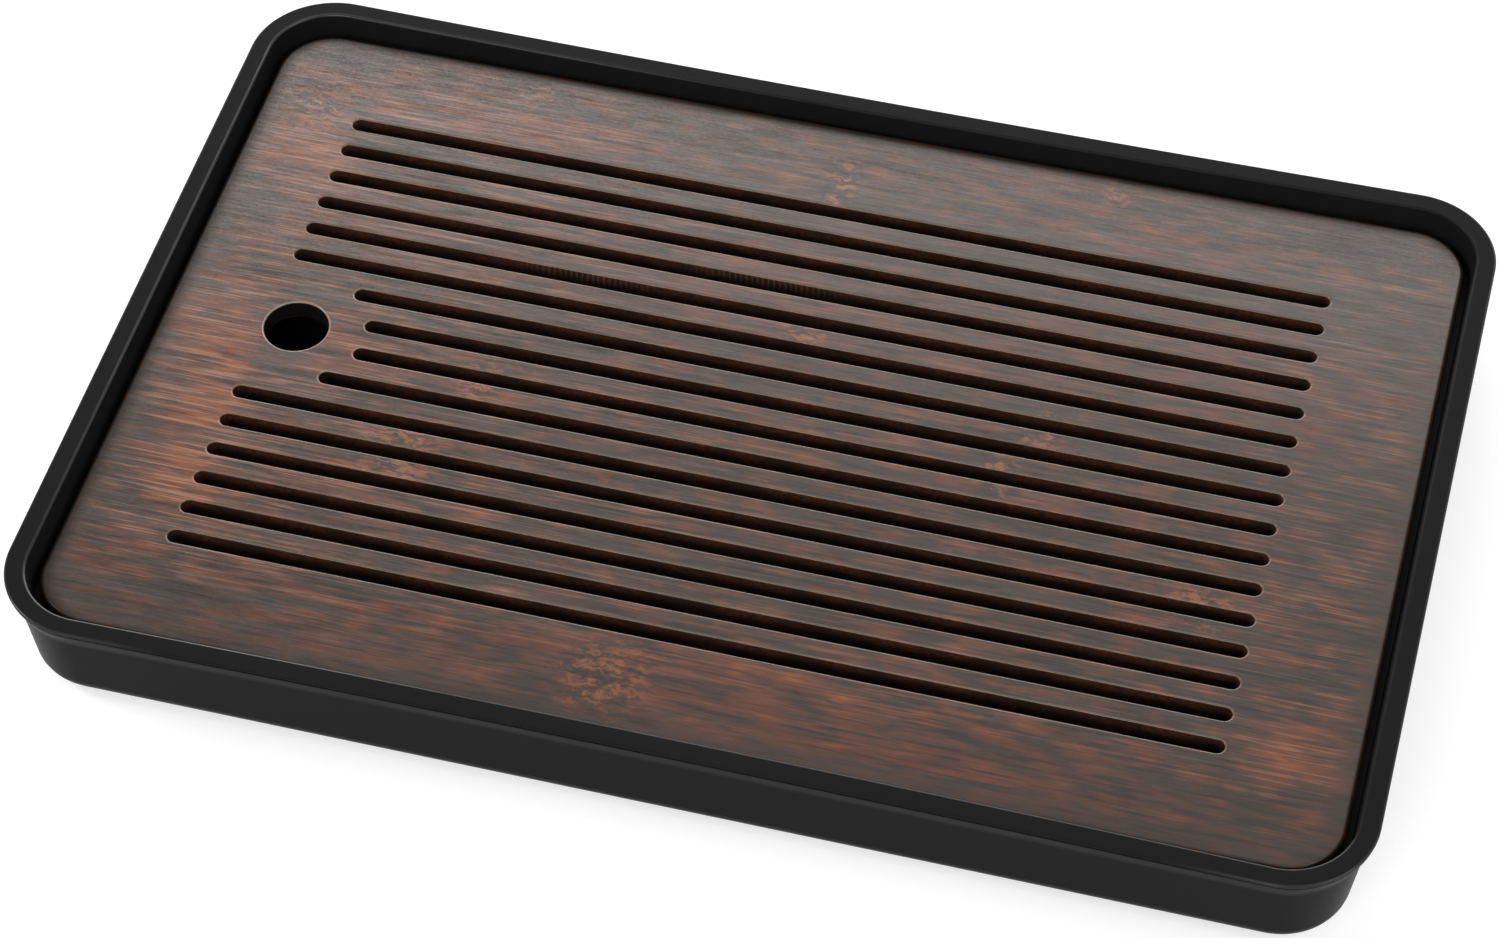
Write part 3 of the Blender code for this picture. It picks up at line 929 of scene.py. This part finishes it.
# %% Colours of the bamboo
SMOKED = ((0.0335, 0.0210, 0.0140), (0.0395, 0.0243, 0.0160))
RUSTY = ((0.0990, 0.0300, 0.0145), (0.1110, 0.0336, 0.0160))
AMBER = (0.25, 0.066, 0.012)
PALE_FIBRE = (0.32, 0.165, 0.104)
KNOT_CURL = (0.25, 0.085, 0.033)
KNOT_HOLLOW = (0.014, 0.012, 0.007)
VEIN = (0.012, 0.010, 0.008)
# Painted shade: the duller colour of the border all round the board, where the rim's walls shade it.
PAINTED_BORDER_SHADE = (0.055, 0.035, 0.022)
# Painted shade: the front margin is darker, where the lacquer's sheen falls off.
PAINTED_FRONT_SHADE = (0.016, 0.010, 0.007)
# Painted shade: the darker border along the rim's walls, deepest at the left and the back.
PAINTED_WALL_SHADE = (0.012, 0.009, 0.007)
# Painted highlight: the colour that the board's rounded edges are lightened to, most round the finger
# hole.
PAINTED_EDGE_HIGHLIGHT = (0.40, 0.31, 0.23)
# Painted shade: each wall colour is a pair, the first for the shaded bottom of a wall and the second for
# its lit top.
WALL_STAINED_SHADED_TO_LIT = ((0.010, 0.006, 0.004), (0.030, 0.014, 0.009))
WALL_BARE_SHADED_TO_LIT = ((0.018, 0.009, 0.006), (0.085, 0.028, 0.014))
CHATTER_MARK = (0.15, 0.11, 0.08)
HOLE_WALL = (0.005, 0.004, 0.004)

# %% Zones of the board and noises of its grain
# A zone is an axis, where it begins and where it is full, in millimetres.
ZONES = {
    "west": ("X", 40, -150),
    "east": ("X", 110, 146),
    "near": ("Y", -80, -100),
    "far": ("Y", 86, 100),
    "calm_from": ("Y", 0, 50),
    "calm_to": ("Y", 82, 90),
    # The last three zones place the painted shade along the left and the back.
    "left_edge": ("X", -156, -168),
    "left_shade": ("X", -152, -166),
    "back_edge": ("Y", 98, 110),
}
# A noise is its size along, across and down the grain in millimetres, its detail and its roughness.
GRAIN_NOISES = {
    "mottle": ((11, 4.6, 4.6), 3.0, 0.50),
    "streak": ((18, 1.5, 1.5), 2.0, 0.50),
    "fibre": ((11, 0.50, 0.50), 1.0, 0.50),
    "fleck": ((30, 0.58, 0.58), 1.0, 0.50),
    "sheen": ((22, 3.0, 3.0), 4.0, 0.74),
    "grit": ((1.1, 0.62, 0.62), 2.0, 0.65),
    "curl": ((3.8, 1.8, 1.8), 3.0, 0.62),
}


class BoardPoint:
    """A point of the board: its zones, each 0 outside and 1 well inside, and the noises of its grain.

    `wall_shaded` is the border at the left and the back that carries painted shade from the rim's walls,
    and
    `shade` its deeper part at the left. `inland` is away from the edge, past the painted shade all round,
    and `off_rim` is past the painted shade of the border, which is wider at the left and the back."""

    def __init__(self, finish, place):
        for name, (axis, low, high) in ZONES.items():
            setattr(self, name, finish.band(finish.axis(place, axis), low, high))
        self.calm = self.calm_from * (1 - self.calm_to)
        self.wall_shaded = finish.maths("MAXIMUM", self.left_edge, self.back_edge)
        self.shade = finish.maths("MAXIMUM", self.left_shade, self.wall_shaded * self.west)
        from_edge = board_inset(finish, place)
        rim_low = -0.6 - self.shade * 0.6
        rim_high = 1.8 + self.wall_shaded * 3.6 + self.shade * 0.5
        self.off_rim = finish.band(from_edge, rim_low, rim_high)
        self.inland = finish.band(from_edge, 0.5, 9.0)
        self.hole = blot(finish, place, FINGER_HOLE_X / MM, 0, 26, 26)
        grain, self.own, self.knot = bamboo_grain(finish, place)
        for name, (size, detail, roughness) in GRAIN_NOISES.items():
            setattr(self, name, finish.noise(grain, size, detail, roughness))
        self.warmth = finish.band(finish.noise(place, (110, 34, 34), 1.0), 0.36, 0.62)


# %% The stained face
def stained_face(finish, place, at):
    """Colour of the top: smoked ground, rust where `amount` is high, pale fibres, knots, and painted
    shade along the border and at the front.
    """
    glow = blots(finish, place, RUSTY_PATCHES)
    line = finish.band(at.fibre, 0.38, 0.62)
    broad = (at.mottle - 0.5) * (0.92 - at.calm * 0.40 - at.near * 0.14)
    fine = (at.streak - 0.5) * (0.32 - at.calm * 0.08)
    amount = broad + fine + glow + at.warmth * 0.05 + (at.own - 0.5) * 0.10 + 0.465
    # Towards the edge the rust, the amber and the pale fibres fade: painted shade from the rim's walls.
    rust = finish.band(amount, 0.38, 0.66) * (0.45 + at.inland * 0.55)
    fleck_share = (0.30 + at.west * 0.70 + at.east * 0.28) * (1 - at.near * 0.6)
    pale = finish.band(at.fleck + glow * 0.15, 0.53, 0.66) * fleck_share
    rim_share = 0.25 + at.wall_shaded * 0.55 + at.shade * 0.15
    return finish.layers(
        finish.mix(*SMOKED, line),
        (finish.mix(*RUSTY, line), rust),
        (AMBER, finish.band(amount, 0.62, 0.82) * at.inland * (0.40 + line * 0.45)),
        (PALE_FIBRE, pale * (0.22 + rust * 0.42) * at.inland),
        (KNOT_CURL, finish.band(at.curl, 0.50, 0.60) * at.knot * 0.9),
        (KNOT_HOLLOW, finish.band(at.curl, 0.48, 0.38) * at.knot * 0.85),
        (VEIN, finish.band(at.streak, 0.47, 0.34) * 0.6),
        # painted shade: the whole border is dulled
        (PAINTED_BORDER_SHADE, (1 - at.inland) * 0.25),
        # painted shade at the front
        (PAINTED_FRONT_SHADE, at.near * 0.20),
        # painted shade along the rim's walls, deepest at the left and the back
        (PAINTED_WALL_SHADE, (1 - at.off_rim) * rim_share),
    )


# %% The routed walls
def routed_wall(finish, place, at):
    """Colour of the openings' walls, with painted shade that darkens them towards the bottom, and the
    ripple that the router's chatter left.
    """
    # painted shade: the walls are darker towards the bottom, as if the opening shaded them
    depth = finish.band(finish.axis(place, "Z"), BOARD_TOP / MM - WALL_LIT_DEPTH, BOARD_TOP / MM)
    scratch = finish.band(finish.noise(place, (1.3, 1.3, 1.0), 3.0, 0.7), 0.36, 0.62)
    chatter = blots(finish, place, CHATTER)
    turns = finish.axis(place, "X") * (2 * math.pi / CHATTER_PITCH)
    ripple = finish.maths("SINE", turns + (at.mottle - 0.5) * 6.0)
    wall = finish.layers(
        finish.mix(*WALL_STAINED_SHADED_TO_LIT, depth),
        (finish.mix(*WALL_BARE_SHADED_TO_LIT, depth), scratch * finish.band(at.mottle, 0.36, 0.62)),
        (CHATTER_MARK, finish.band(ripple, 0.1, 0.9) * chatter * depth * 0.6),
        (HOLE_WALL, at.hole),
    )
    return wall, ripple * chatter


# %% The board's finish
def dark_bamboo():
    """Stained face, routed walls and a painted highlight on the edges, under a lacquer whose sheen
    follows the grain.
    """
    finish, place = new_finish("dark_bamboo")
    at = BoardPoint(finish, place)
    cut = finish.value_of("cut")
    # painted highlight on the rounded top edges, strongest round the finger hole
    edge_highlight = finish.value_of("bend") * (1 - cut)
    wall, ripple = routed_wall(finish, place, at)
    wood = finish.layers(
        stained_face(finish, place, at),
        (wall, cut),
        (PAINTED_EDGE_HIGHLIGHT, edge_highlight * (0.16 + at.hole * 0.42)),
    )
    fine_share = 0.55 + at.west * 0.60 + at.far * 0.25 - at.near * 0.30
    fine = (at.fibre - 0.5) * fine_share + (at.grit - 0.5) * fine_share * 1.3
    clear = 1 + (at.sheen - 0.5) * (0.80 + at.west * 0.80) + fine
    # The sheen is lowered at the front as painted shade, and a little at the back.
    clear = clear * (1 - at.near * 0.12 - at.far * 0.06) * (1 - cut * 0.9)
    # Painted shade: the lacquer's sheen is taken away in the same border, as if the walls shaded it.
    painted_shade_on_coat = (1 - at.off_rim) * (0.4 + at.wall_shaded * 0.4 + at.shade * 0.15)
    height = at.fibre * 0.5 + at.streak * 0.8 + at.knot * at.curl * 0.8 + ripple * cut * 2.0
    return finish.surface(
        Base_Color=wood,
        Roughness=0.42 + (at.fibre - 0.5) * 0.16 + cut * 0.3,
        Specular_IOR_Level=0.05,
        Coat_Weight=clear * (1 - painted_shade_on_coat) * 0.672,
        Coat_Roughness=0.22,
        Coat_IOR=1.55,
        Normal=finish.bump(height, 0.03 * MM, 0.5),
    )


dress([tea_board], dark_bamboo())

# %% [markdown]
# ## Strips, steel and rubber
# The strips have the same stain without the lacquer, with their grain along Y. The screws are plain
# steel with turning marks. The rubber is dull, with a fine bloom on it.

# %% The strips' finish
STRIP_DARK = (0.050, 0.029, 0.019)
STRIP_RUSTY = (0.17, 0.074, 0.038)
STRIP_FIBRE = (0.26, 0.15, 0.09)
STRIP_PORE = (0.018, 0.012, 0.009)
STRIP_WORN = (0.21, 0.12, 0.07)


def strip_bamboo():
    """Sanded, stained bamboo with its grain along the strip."""
    finish, place = new_finish("batten_bamboo")
    streak = finish.noise(place, (1.2, 26, 1.2), 3.0, 0.6)
    fibre = finish.noise(place, (0.30, 12, 0.30), 1.0)
    pore = finish.band(finish.noise(place, (0.5, 3.0, 0.5), 1.0), 0.66, 0.76)
    rust = finish.band(streak + finish.noise(place, (9, 50, 9), 1.0) * 0.4, 0.55, 0.95)
    wood = finish.layers(
        STRIP_DARK,
        (STRIP_RUSTY, rust),
        (STRIP_FIBRE, finish.band(fibre, 0.58, 0.78) * 0.5),
        (STRIP_PORE, pore * 0.7),
        (STRIP_WORN, finish.value_of("bend") * 0.35),
    )
    return finish.surface(
        Base_Color=wood,
        Roughness=0.58 + (fibre - 0.5) * 0.2,
        Specular_IOR_Level=0.4,
        Normal=finish.bump(fibre * 0.6 + streak - pore * 0.8, 0.04 * MM, 0.7),
    )


dress(strips, strip_bamboo())

# %% The screws' and the feet's finish
STEEL_BRIGHT = (0.56, 0.56, 0.57)
STEEL_TARNISHED = (0.30, 0.28, 0.25)
RUBBER_BLACK = (0.016, 0.016, 0.016)
RUBBER_BLOOM = (0.042, 0.041, 0.039)


def screw_steel():
    """Plain steel with fine turning marks and a little tarnish."""
    finish, place = new_finish("screw_steel")
    mark = finish.noise(place, (0.12, 0.12, 2.0))
    tarnish = finish.band(finish.noise(place, (1.4, 1.4, 1.4), 3.0), 0.52, 0.72)
    tone = finish.mix(STEEL_BRIGHT, STEEL_TARNISHED, tarnish * 0.6)
    return finish.surface(
        Base_Color=tone,
        Metallic=1.0,
        Roughness=0.28 + mark * 0.16 + tarnish * 0.15,
        Normal=finish.bump(mark, 0.01 * MM, 0.4),
    )


def foot_rubber():
    """Dull black rubber with a fine grain and a greyish bloom."""
    finish, place = new_finish("foot_rubber")
    grit = finish.noise(place, (0.25, 0.25, 0.25))
    bloom = finish.band(finish.noise(place, (4, 4, 4), 3.0), 0.45, 0.75)
    share = bloom * 0.6 + finish.value_of("bend") * 0.2
    tone = finish.mix(RUBBER_BLACK, RUBBER_BLOOM, share)
    return finish.surface(
        Base_Color=tone,
        Roughness=0.78 + (grit - 0.5) * 0.2,
        Specular_IOR_Level=0.3,
        Normal=finish.bump(grit, 0.03 * MM, 0.6),
    )


dress(screws, screw_steel())
dress(foot_pads, foot_rubber())

# %% [markdown]
# ## Floor, light and camera
# The photograph is a catalogue picture on white. A pale floor keeps the tray's soft shadow, and the part
# of the white that no lamp has to give comes from the floor's and the world's own camera rays. A lamp
# overhead gives the plain level. Two panels behind draw the sheen on the lacquer and the light along the
# rim, a narrow key from the left and a side lamp from the right model the walls, and a fill from the
# front keeps the dark body readable.

# %% Floor and surroundings
# Lengths in metres. Far from the tray, past the lamps' reach, the floor gets some more lift.
FLOOR_HALF = 6.0
FLOOR_DROP = 0.05 * MM
FLOOR_WHITE = 0.60
FLOOR_LIFT = 0.60
FLOOR_FAR_LIFT = 0.27
LIT_REACH = 0.8
FAR_REACH = 2.0
AMBIENT = 0.22


def seen_directly(finish):
    """1 for a ray from the camera, a mirror or glass, and 0 for one that carries light to a surface."""
    names = ("Is Camera Ray", "Is Glossy Ray", "Is Transmission Ray")
    straight, glossy, clear = [finish.node("ShaderNodeLightPath", output=name) for name in names]
    return finish.maths("MINIMUM", straight + glossy + clear, 1.0)


def make_floor():
    """A wide white sheet just under the feet. Its lift grows where the lamps no longer reach it."""
    grid = np.array([(-1, -1, 0), (1, -1, 0), (1, 1, 0), (-1, 1, 0)]) * FLOOR_HALF
    grid[:, 2] = -FLOOR_DROP
    mesh = bpy.data.meshes.new("floor")
    mesh.from_pydata(grid.tolist(), [], [(0, 1, 2, 3)])
    floor = put("floor", mesh)
    finish, place = new_finish("floor_white")
    matte = finish.node("ShaderNodeBsdfDiffuse", (), {"Color": (FLOOR_WHITE,) * 3})
    unlit = finish.band(finish.length(place), LIT_REACH / MM, FAR_REACH / MM)
    strength = seen_directly(finish) * (FLOOR_LIFT + unlit * FLOOR_FAR_LIFT)
    lift = finish.node("ShaderNodeEmission", (), {"Strength": strength})
    mesh.materials.append(finish.show(finish.node("ShaderNodeAddShader", (), {0: matte, 1: lift})))


def make_world():
    """White where it is seen directly, and a dim even grey as a source of light."""
    finish = Finish(bpy.data.worlds.new("studio"))
    strength = AMBIENT + seen_directly(finish) * (1 - AMBIENT)
    light = finish.node("ShaderNodeBackground", (), {"Color": (1, 1, 1), "Strength": strength})
    bpy.context.scene.world = finish.show(light, "ShaderNodeOutputWorld")


make_floor()
make_world()
print("floor and world are set")

# %% Lamps
# Name, azimuth from the back clockwise and elevation in degrees, distance, width and height in metres,
# and radiance.
LAMPS = (
    ("overhead", 0, 84, 1.5, 1.5, 1.1, 0.4),
    ("behind", 352, 31.8, 1.5, 1.5, 0.83, 3.0),
    ("backdrop", 0, 8, 1.6, 2.4, 0.26, 5.0),
    ("key", 262, 38, 1.5, 0.45, 0.45, 12.5),
    ("fill", 185, 30, 1.6, 1.0, 0.64, 4.7),
    ("side", 110, 40, 1.5, 0.8, 0.8, 3.0),
)


def make_lamp(name, azimuth, elevation, distance, width, height, radiance):
    """A panel that looks at the tray. Its power is its radiance times pi times its area."""
    data = bpy.data.lights.new(name, "AREA")
    data.shape = "RECTANGLE"
    data.size = width
    data.size_y = height
    data.energy = radiance * math.pi * width * height
    lamp = put(name, data)
    turn, rise = math.radians(azimuth), math.radians(elevation)
    away = Vector((math.sin(turn) * math.cos(rise), math.cos(turn) * math.cos(rise), math.sin(rise)))
    lamp.location = away * distance
    lamp.rotation_euler = away.to_track_quat("Z", "Y").to_euler()
    lamp.visible_camera = False


for row in LAMPS:
    make_lamp(*row)
print("lamps:", [row[0] for row in LAMPS])

# %% Camera
CAMERA_PLACE = (0.19426, -0.75030, 0.91210)
CAMERA_TURN = (40.5607, 0.3139, 14.6261)
LENS = 103.878

camera_data = bpy.data.cameras.new("camera")
camera_data.lens = LENS
camera = put("camera", camera_data)
camera.location = CAMERA_PLACE
camera.rotation_euler = [math.radians(angle) for angle in CAMERA_TURN]
bpy.context.scene.camera = camera
bpy.context.scene.view_settings.view_transform = "Standard"
print("camera at", [round(value, 3) for value in camera.location])
